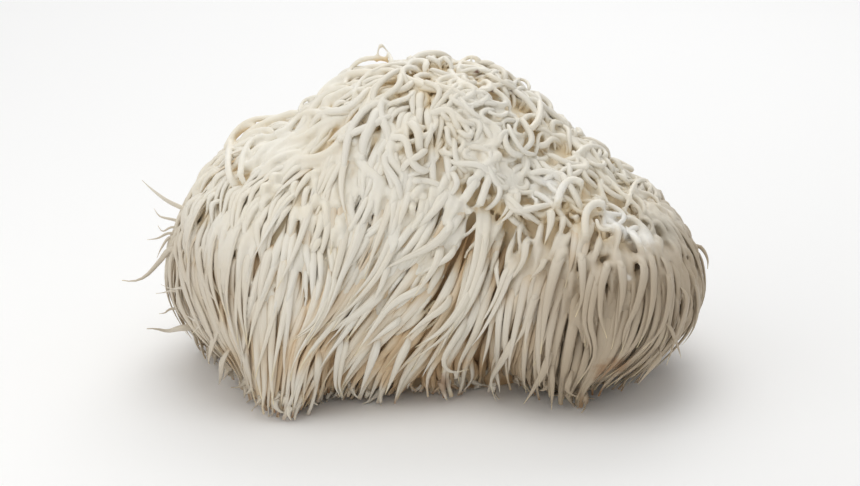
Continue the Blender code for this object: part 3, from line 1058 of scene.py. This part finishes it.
def makeCore():
    rings = ringsAround(core["level"], -0.5 * math.pi / 2, core["rings"], core["sides"])
    sink = np.maximum(tucked(rings) - 1.0 * mm, 0.0) - 2.6 * mm * onBulge(rings)
    rings = rings - formNormal(rings) * sink[..., None]
    low = rings[..., 2] < core["underside"]
    rings[..., 2] = np.where(low, core["underside"], rings[..., 2])
    turns = np.linspace(0.0, 2.0 * math.pi, core["sides"], endpoint=False)
    oval = np.stack([np.cos(turns) * core["cut"][0], np.sin(turns) * core["cut"][1]], -1) + core["cutMiddle"]
    neck = np.concatenate([oval * 1.04, np.full((core["sides"], 1), core["underside"])], -1)
    cut = np.concatenate([oval, np.zeros((core["sides"], 1))], -1)
    keep = [ring for ring in rings if not (ring[:, 2] <= core["underside"]).all()]
    piece = closedRings("fleshCore", core["level"], np.stack(keep + [neck, cut]))
    piece.data.shade_smooth()
    piece.data.materials.append(coreMaterial)
    return piece


pieces.append(makeCore())
print("flesh core ready")


# The tangle of curly spines on top: a fused bed, and rounder curls that arch over it

tangle = {
    "bed": {
        "gap": 3.6 * mm,
        "lowest": -0.02,
        "length": (14.0 * mm, 28.0 * mm),
        "radius": (0.85 * mm, 1.25 * mm),
        "arch": (-0.2 * mm, 0.8 * mm),
        "sunk": (-2.4 * mm, -1.4 * mm),
        "few": 0.40,               # the share of them that the calm side has
    },
    "curls": {
        "gap": 3.1 * mm,
        "lowest": 0.0,
        "length": (14.0 * mm, 32.0 * mm),
        "radius": (0.80 * mm, 1.20 * mm),
        "arch": (0.2 * mm, 1.8 * mm),  # how high a curl's middle stands off its ends
        "sunk": (-1.7 * mm, -0.3 * mm),
        "few": 0.40,
    },
    "thin": {
        "gap": 3.1 * mm,
        "lowest": 0.06,
        "length": (13.0 * mm, 32.0 * mm),
        "radius": (0.80 * mm, 1.20 * mm),
        "arch": (0.4 * mm, 3.2 * mm),
        "sunk": (-1.4 * mm, -0.4 * mm),
        "few": 0.0,
    },
    "seed": 23,
    "parting": 3.0 * mm,           # the tangle is two pieces, which meet here
    "points": 17,
    "calmSide": -14.0 * mm,        # the curls left of here are broad and flow down the slope
    "curlySide": 12.0 * mm,        # and right of here they are thin and turn about
    "fleshLevel": -2.2 * mm,
    "voxel": 0.45 * mm,
    "soften": 2,
    "triangles": 180000,
    "sizes": {"Sides": 8, "Flatness": 0.9, "Wobble": 0.3 * mm},
    "rootPoints": 10,
    "rootSink": 1.6 * mm,          # how much deeper a curl starts, and mostly ends
    "thinPoints": 14,
    "thinSeed": 31,
    "crestEnd": 10.0 * mm,         # the broad strands grow left of here
}
curling = smoothNoise(11, 9 * mm)
loops = {
    "peakArch": {"width": 5, "level": 0.0, "route": [(376, 66), (378, 52), (381, 44), (388, 53), (394, 66)]},
    "rimLoop": {"width": 5, "level": 0.0, "route": [(458, 70), (462, 61), (470, 57), (478, 59), (484, 68)]},
    "rimBump": {"width": 4, "route": [(512, 86), (519, 79), (527, 82), (530, 90)]},
    "leftThread": {
        "width": 3,
        "level": 0.0,
        "route": [(299, 113), (302, 103), (309, 98), (324, 95), (336, 94)],
    },
    "leftThreadLow": {"width": 3, "level": 0.0, "route": [(266, 121), (275, 116), (285, 116), (298, 111)]},
    "leftArch": {"width": 7, "route": [(262, 124), (245, 128), (232, 140), (228, 160), (230, 182)]},
    "leftArchIn": {"width": 7, "route": [(268, 134), (252, 141), (243, 156), (240, 178)]},
    "leftCurl": {"width": 8, "route": [(330, 118), (314, 112), (298, 118), (286, 130), (270, 136)]},
    "leftRim": {
        "width": 7,
        "level": 0.6,
        "route": [(224, 150), (236, 131), (250, 121), (266, 118), (282, 118)],
    },
    "crownRim": {"width": 6, "level": 0.2, "route": [(344, 88), (350, 70), (361, 60), (376, 58), (392, 60)]},
    "crownRimIn": {
        "width": 6,
        "level": 0.2,
        "route": [(352, 98), (362, 80), (376, 72), (390, 70), (404, 76)],
    },
    "rightLoop": {
        "width": 5,
        "level": 0.0,
        "route": [(628, 206), (631, 191), (638, 181), (647, 181), (652, 191)],
    },
    "saddleCurl": {"width": 8, "route": [(557, 206), (560, 193), (566, 183), (575, 180), (585, 186)]},
    "rimCurl": {
        "width": 6,
        "level": 0.0,
        "route": [(575, 156), (583, 149), (593, 146), (603, 150), (607, 158)],
    },
    "handCurl": {"width": 8, "route": [(586, 240), (585, 222), (588, 209), (597, 203), (608, 206)]},
    "handHook": {"width": 3, "level": 1.8, "route": [(596, 218), (599, 227), (605, 230), (613, 228)]},
    "crownCurl": {"width": 7, "route": [(536, 92), (540, 105), (538, 120), (528, 132)]},
    "crownLoop": {"width": 6, "route": [(455, 90), (458, 102), (470, 106), (484, 101), (489, 92)]},
    "hollowStrand": {
        "width": 9,
        "level": 1.4,
        "route": [(503, 152), (491, 161), (480, 172), (472, 187), (462, 203)],
    },
    "hollowBeside": {"width": 8, "level": 1.6, "route": [(495, 166), (489, 179), (484, 192), (479, 207)]},
}                                      # widths and routes in pixels, levels in mm off the form
loopLevel = 1.2                        # where a loop states none


def curlPaths(layer, chance):
    # curls that wander over the form: long and calm at the left, short and wild at the right
    sites = growingSites(layer["gap"], layer["lowest"], 2.0, chance)
    few = layer["few"]
    kept = few + (1.0 - few) * ease(sites[:, 0], tangle["calmSide"] - 10 * mm, tangle["curlySide"] - 6 * mm)
    sites = sites[chance.random(len(sites)) < kept]
    total = len(sites)
    wild = ease(sites[:, 0], tangle["calmSide"], tangle["curlySide"])
    lengths = chance.uniform(*layer["length"], total) * (1.15 - 0.45 * wild)
    lean = chance.normal(0.0, 1.0, total) * (0.24 + 0.4 * wild)
    bend = chance.normal(0.0, 1.0, total) * (0.3 + 2.4 * wild)
    phase = chance.uniform(0.0, 2.0 * math.pi, total)
    beats = chance.uniform(0.5, 1.5, total)
    swing = chance.uniform(0.1, 0.5, total) * (0.5 + 1.3 * wild)
    tall = chance.uniform(*layer["arch"], total)
    sunk = chance.uniform(*layer["sunk"], total)
    lift = chance.uniform(-0.5, 0.8, total) * mm
    deep = chance.random(total) < 0.90      # the others end free
    points = settled(sites, sunk - tangle["rootSink"])
    path = [points]
    steps = tangle["points"] - 1
    for step in range(steps):
        share = (step + 1.0) / steps
        normals = formNormal(points)
        down, side = slopeAxes(points, normals)
        angle = lean + bend * (share - 0.4) + swing * np.sin(phase + beats * 2.0 * math.pi * share)
        angle = angle + curling(points) * (0.55 + 0.7 * wild)
        heading = down * np.cos(angle)[:, None] + side * np.sin(angle)[:, None]
        points = points + heading * (lengths / steps)[:, None]
        level = sunk + tall * 4.0 * share * (1.0 - share) + lift * share
        level = level - tangle["rootSink"] * (1.0 - ease(share, 0.0, 0.18) + deep * ease(share, 0.80, 1.0))
        level = level - slopeTuck(points)
        points = points + normals * (level - formDistance(points))[:, None]
        path.append(points)
    radii = chance.uniform(*layer["radius"], total) * (1.30 - 0.45 * wild)
    paths = np.stack(path, 1)

    # a curl that comes down to the mane ends there and sinks into the flesh
    past = aboveEdge(paths) < chance.uniform(-0.06, 0.10, total)[:, None]
    first = np.where(past.any(1), past.argmax(1), steps)
    paths = resampled(paths, np.maximum(first / steps, 0.35), tangle["points"])
    shares = np.linspace(0.0, 1.0, tangle["points"])[None]
    dive = past.any(1)[:, None] * ease(shares, 0.45, 1.0) * 3.2 * mm
    return paths - formNormal(paths) * dive[..., None], radii


def fleshUnder(low, high):
    # the flesh under the tangle, between two sideways places; the remesh needs it as a closed form
    rings = ringsAround(tangle["fleshLevel"], -0.12, 41, 96)
    bulging = onBulge(rings)
    sink = 5.0 * mm * ease(-aboveEdge(rings), -0.04, 0.32) * (1.0 - 0.8 * bulging) - 0.4 * mm * bulging
    calm = 1.0 - ease(rings[..., 0], tangle["calmSide"], tangle["curlySide"])
    sink = sink - 0.4 * mm * calm * ease(aboveEdge(rings), 0.0, 0.1)
    outside = np.maximum(low - rings[..., 0], rings[..., 0] - high)
    sink = np.maximum(sink, 7.0 * mm * ease(outside, 1.0 * mm, 5.0 * mm))
    sink = sink + slopeTuck(rings) * 0.6
    rings = rings - formNormal(rings) * sink[..., None]
    return closedRings("fleshUnder", tangle["fleshLevel"], rings)


def curlRows(layer, chance):
    paths, radii = curlPaths(layer, chance)
    shares = np.linspace(0.0, 1.0, tangle["points"])[None]
    ends = np.minimum(ease(shares, 0.0, 0.2) * 0.55 + 0.45, (1.0 - shares**4) ** 0.5 * 0.75 + 0.25)
    return paths, radii[:, None] * ends, {"share": shares}, formNormal(paths)


def rootRows():
    # the mane's upper ends, swollen, which run into the same skin, further down on the left bulge;
    # and the webs, which root near the tangle's edge
    paths, girths = together([maneLayers[layer] for layer in ("over", "edge", "loose", "guides")])[:2]
    chosen = aboveEdge(paths[:, 0]) > -0.12
    paths, girths = paths[chosen], girths[chosen]
    bulging = onBulge(paths[:, paths.shape[1] // 2])
    count = tangle["rootPoints"]
    ends = 0.38 + 0.45 * bulging
    shares = np.linspace(0.0, 1.0, count)[None]
    paths = resampled(paths, ends, count)
    swollen = 1.3 - 0.42 * bulging[:, None] - 0.95 * ease(shares, 0.45, 1.0) * (1.0 - 0.5 * bulging[:, None])
    girths = resampled(girths[..., None], ends, count)[..., 0] * swollen
    webs, webGirths = maneLayers["webs"][:2]
    kept = onBulge(webs[:, 4]) < 0.4
    webs, webGirths = webs[kept], webGirths[kept]
    whole = np.ones(len(webs))
    paths = np.concatenate([paths, resampled(webs, whole, count)])
    webGirths = resampled(webGirths[..., None], whole, count)[..., 0]
    girths = np.concatenate([girths, np.maximum(webGirths, 0.5 * mm)])
    return paths, girths, {"share": np.zeros(girths.shape)}, formNormal(paths)


def loopRows():
    # single curls read from the photo, mostly on the outline
    paths, girths = [], []
    for loop in loops.values():
        path = smoothRoute(onForm(loop["route"], loop.get("level", loopLevel) * mm), tangle["points"])
        ends = path[[0, -1]] - formNormal(path[[0, -1]]) * 3.0 * mm
        path = smoothRoute(np.concatenate([ends[:1], path[1:-1], ends[1:]]), tangle["points"])
        paths.append(path)
        girths.append(np.full(tangle["points"], max(loop["width"] * 0.56 * pixelSize, 0.65 * mm)))
    paths = np.stack(paths)
    return paths, np.stack(girths), {"share": np.zeros(paths.shape[:2])}, formNormal(paths)


def makeTangle(name, low, high, rowSets):
    # the curls, roots and flesh between two sideways places, fused
    parts = [fleshUnder(low, high)]
    for number, rows in enumerate(rowSets):
        middle = rows[0][:, rows[0].shape[1] // 2, 0]
        chosen = (middle > low) & (middle <= high)
        parts.append(someTubes(name + str(number), rows, tangleMaterial, chosen, **tangle["sizes"]))
    piece = newObject(name, joinedMesh(parts, name))
    fuse = piece.modifiers.new("fuse", "REMESH")
    fuse.mode = "VOXEL"
    fuse.voxel_size = tangle["voxel"]
    soften = piece.modifiers.new("soften", "SMOOTH")
    soften.factor = 0.5
    soften.iterations = tangle["soften"]
    piece = baked(piece, name)
    faces = triangles(piece)
    print(name, "triangles before thinning:", faces)
    if faces > tangle["triangles"]:
        thin = piece.modifiers.new("thin", "DECIMATE")
        thin.ratio = tangle["triangles"] / faces
        piece = baked(piece, name)
    piece.data.materials.clear()
    piece.data.materials.append(tangleMaterial)
    piece.data.shade_smooth()
    return piece


def joinedMesh(parts, name):
    # several plain meshes as one
    points, faces, start = [], [], 0
    for part in parts:
        mesh = part.data
        points.append(pointsOf(mesh))
        faces += [tuple(index + start for index in face.vertices) for face in mesh.polygons]
        start += len(mesh.vertices)
        discard(part)
    mesh = bpy.data.meshes.new(name)
    mesh.from_pydata(np.concatenate(points).tolist(), [], faces)
    return mesh


def makeThinCurls():
    # loose thin curls over the fused ones
    paths, radii = curlPaths(tangle["thin"], np.random.default_rng(tangle["thinSeed"]))
    paths = resampled(paths, np.ones(len(paths)), tangle["thinPoints"])
    shares = np.linspace(0.0, 1.0, tangle["thinPoints"])[None]
    start = 0.3 + 0.7 * ease(shares, 0.0, 0.2)
    end = (1.0 - shares**5) ** 0.5 * 0.8 + 0.2
    rows = paths, radii[:, None] * np.minimum(start, end), {"share": shares}, formNormal(paths)
    return someTubes("thinCurls", rows, curlMaterial, Sides=6, Flatness=0.9, Wobble=0.3 * mm)


def makeCrest():
    # broad strands that flow down the calm side, over the fused bed
    crest = maneLayers["crest"]
    chosen = crest[0][:, 4, 0] < tangle["crestEnd"]
    return someTubes("crestStrands", crest, curlMaterial, chosen, Sides=7, Flatness=0.7, Wobble=0.25 * mm)


tangleChance = np.random.default_rng(tangle["seed"])
tangleRows = [curlRows(tangle[layer], tangleChance) for layer in ("bed", "curls")] + [rootRows(), loopRows()]
pieces.append(makeTangle("tangleLeft", -1.0, tangle["parting"], tangleRows))
pieces.append(makeTangle("tangleRight", tangle["parting"], 1.0, tangleRows))
pieces.append(makeThinCurls())
pieces.append(makeCrest())
print("tangle ready")


# Stray spines that stand out from the sides, in pixels from root to tip

strays = {
    "upperLong": {"width": 5.4, "route": [(180, 207), (166, 200), (153, 190), (142, 180)]},
    "upperShort": {"width": 3.9, "route": [(175, 220), (160, 216), (154, 208)]},
    "curledUp": {"width": 3.3, "route": [(173, 227), (163, 231), (158, 225)]},
    "outward": {"width": 3.6, "route": [(170, 233), (158, 238), (147, 240)]},
    "drooping": {"width": 3.9, "route": [(171, 237), (162, 247), (157, 258)]},
    "longest": {"width": 6.6, "route": [(171, 249), (160, 261), (146, 276), (134, 281), (122, 280)]},
    "short": {"width": 3.6, "route": [(172, 291), (164, 293), (156, 294)]},
    "shortUp": {"width": 3.3, "route": [(181, 288), (172, 289), (161, 285)]},
    "low": {"width": 3.6, "route": [(171, 309), (165, 313), (159, 314)]},
    "leaf": {"width": 7.5, "route": [(182, 328), (168, 331), (156, 329), (147, 329)]},
    "rightStray": {"width": 5.1, "route": [(697, 246), (704, 251), (708, 260), (708, 269)]},
}


def makeStrays():
    chance = np.random.default_rng(3)
    paths, girths, lengths = [], [], []
    shares = np.linspace(0.0, 1.0, 14)
    for stray in strays.values():
        route = onForm(stray["route"], 0.3 * mm)
        inner = route[:1] + unit(heart - route[:1]) * 5.0 * mm
        path = smoothRoute(np.concatenate([inner, route]), len(shares))
        paths.append(path)
        girths.append(stray["width"] * 0.5 * pixelSize * np.maximum((1.0 - shares**2.2) ** 0.9, 0.14))
        lengths.append(np.linalg.norm(np.diff(path, axis=0), axis=1).sum())
    paths = np.stack(paths)
    facts = {
        "share": shares[None],
        "run": shares[None] * np.array(lengths)[:, None],
        "tone": chance.uniform(0.2, 0.6, (len(paths), 1)),
        "foot": np.zeros(paths.shape[:2]),
    }
    facing = np.broadcast_to(np.array([0.0, -1.0, 0.0]), paths.shape)
    lines = lineMesh("strayLines", paths, np.stack(girths), facts, facing)
    return tubesFrom("straySpines", lines, spineMaterial, Sides=8, Flatness=0.8, Wobble=0.3 * mm)


pieces.append(makeStrays())


# Small curled ends where the mane meets the floor

frizz = {
    "seed": 41,
    "count": 240,
    "points": 9,
    "length": (3.5 * mm, 8.0 * mm),
    "radius": (0.8 * mm, 1.3 * mm),
    "turn": 2.2,                   # how far an end curls, in radians
    "near": 5.0 * mm,              # spines that end lower than this, and no deeper in the form, have them
    "rightmost": 52.0 * mm,        # and that end left of here
}


def makeFrizz():
    chance = np.random.default_rng(frizz["seed"])
    layers = [maneLayers[layer][0][:, -3:] for layer in ("over", "middle", "fringe", "under")]
    paths = np.concatenate(layers)
    ends = paths[:, -1]
    landed = (ends[:, 2] < frizz["near"]) & (formDistance(ends) > -frizz["near"])
    landed = np.flatnonzero(landed & (ends[:, 0] < frizz["rightmost"]))
    chosen = chance.choice(landed, frizz["count"])
    points = paths[chosen, -3] + chance.normal(0.0, 0.6 * mm, (len(chosen), 3))
    outward = points - heart
    outward[:, 2] = 0.0
    heading = unit(unit(paths[chosen, -1] - paths[chosen, -3]) + unit(outward) * 0.45)
    axis = unit(chance.normal(size=heading.shape))
    turn = chance.uniform(0.3, 1.0, (len(chosen), 1)) * frizz["turn"] / frizz["points"]
    lengths = chance.uniform(*frizz["length"], (len(chosen), 1))
    path = [points]
    for _ in range(frizz["points"] - 1):
        heading = unit(heading + np.cross(axis, heading) * turn)
        points = points + heading * lengths / frizz["points"]
        path.append(points)
    paths = np.stack(path, 1)
    shares = np.linspace(0.0, 1.0, frizz["points"])[None]
    girths = chance.uniform(*frizz["radius"], (len(chosen), 1)) * (1.0 - 0.85 * shares)
    paths[..., 2] = np.maximum(paths[..., 2], girths + 0.15 * mm)
    facts = {
        "share": 0.50 + 0.45 * shares,
        "run": shares * lengths,
        "tone": chance.random((len(chosen), 1)),
        "foot": chance.uniform(0.0, 0.6, (len(chosen), 1)) ** 4,
    }
    rows = paths, girths, facts, formNormal(paths)
    return someTubes("frizz", rows, spineMaterial, Sides=5, Flatness=0.7, Wobble=0.2 * mm)


pieces.append(makeFrizz())
print("strays and curled ends ready")


# How far each point lies under the highest spines and curls around it, which the colours read to paint shade
# into gaps and pits

cover = {
    "cell": 1.2 * mm,
    "low": (-90 * mm, -60 * mm, -10 * mm),
    "cells": (150, 100, 90),
}


def spots(points):
    # each point's height off the form, and the cell of the form that it stands over
    height = formDistance(points)
    foot = points - formNormal(points) * height[:, None]
    cells = ((foot - cover["low"]) / cover["cell"]).astype(int)
    cells = np.clip(cells, 0, np.array(cover["cells"]) - 1)
    return height, tuple(cells.T)


def addCover():
    tops = np.full(cover["cells"], -1.0)
    covered = [piece for piece in pieces if piece.name not in ("straySpines", "frizz")]
    found = [(piece, *spots(pointsOf(piece.data))) for piece in covered]
    for piece, height, cells in found:
        np.maximum.at(tops, cells, height)
    for axis in range(3):
        tops = np.maximum(tops, np.maximum(np.roll(tops, 1, axis), np.roll(tops, -1, axis)))
    known = (tops > -0.5).astype(float)
    tops = tops * known
    for axis in (0, 1, 2, 0, 1, 2):
        tops = tops + np.roll(tops, 1, axis) + np.roll(tops, -1, axis)
        known = known + np.roll(known, 1, axis) + np.roll(known, -1, axis)
    tops = tops / np.maximum(known, 1e-9)
    for piece, height, cells in found:
        layer = piece.data.attributes.new("cover", "FLOAT", "POINT")
        layer.data.foreach_set("value", (tops[cells] - height).astype(np.float32))


addCover()
for piece in pieces:
    print(piece.name, "triangles:", triangles(piece))


# The floor, the lights and the camera

def makeFloor():
    size = floorLook["size"]
    mesh = bpy.data.meshes.new("floor")
    corners = [(-size, -size, 0.0), (size, -size, 0.0), (size, size, 0.0), (-size, size, 0.0)]
    mesh.from_pydata(corners, [], [(0, 1, 2, 3)])
    mesh.materials.append(paleFloor())
    floor = newObject("floor", mesh)


def aimed(thing, place, target):
    thing.location = place
    thing.rotation_euler = (Vector(target) - Vector(place)).to_track_quat("-Z", "Y").to_euler()


lights = {
    "key": {"place": (-0.33, -0.19, 0.32), "size": 0.45, "power": 0.40, "colour": (1.0, 0.985, 0.95)},
    "top": {"place": (0.02, -0.03, 0.75), "size": 0.60, "power": 1.44, "colour": (1.0, 0.995, 0.97)},
    "front": {"place": (-0.25, -0.60, 0.16), "size": 0.50, "power": 0.52, "colour": (1.0, 0.99, 0.97)},
    "back": {"place": (0.15, 0.50, 0.60), "size": 0.40, "power": 0.6, "colour": (1.0, 1.0, 1.0)},
    "backdrop": {
        "place": (0.0, 1.25, 0.9),
        "size": 1.2,
        "power": 6.0,
        "colour": (1.0, 1.0, 1.0),
        "aim": (0.0, 1.0, 0.0),
    },
}
worldStrength = 0.50


def makeLights():
    for name, lamp in lights.items():
        light = bpy.data.lights.new(name, "AREA")
        light.energy = lamp["power"]
        light.size = lamp["size"]
        light.color = lamp["colour"]
        thing = bpy.data.objects.new(name, light)
        bpy.context.scene.collection.objects.link(thing)
        aimed(thing, lamp["place"], lamp.get("aim", photo["target"]))
    world = bpy.data.worlds.new("studio")
    world.use_nodes = True
    background = world.node_tree.nodes["Background"]
    background.inputs["Color"].default_value = (1.0, 1.0, 1.0, 1.0)
    background.inputs["Strength"].default_value = worldStrength
    bpy.context.scene.world = world


def makeCamera():
    bpy.context.scene.view_settings.view_transform = "Standard"
    camera = bpy.data.cameras.new("camera")
    camera.lens = photo["lens"]
    camera.sensor_width = photo["sensor"]
    camera.clip_start = 0.01
    thing = bpy.data.objects.new("camera", camera)
    bpy.context.scene.collection.objects.link(thing)
    eye = eyeAxes()[0]
    aimed(thing, tuple(eye), photo["target"])
    bpy.context.scene.camera = thing


makeFloor()
makeLights()
makeCamera()

for piece in pieces:
    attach(piece, "root")
    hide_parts("fruiting_body")
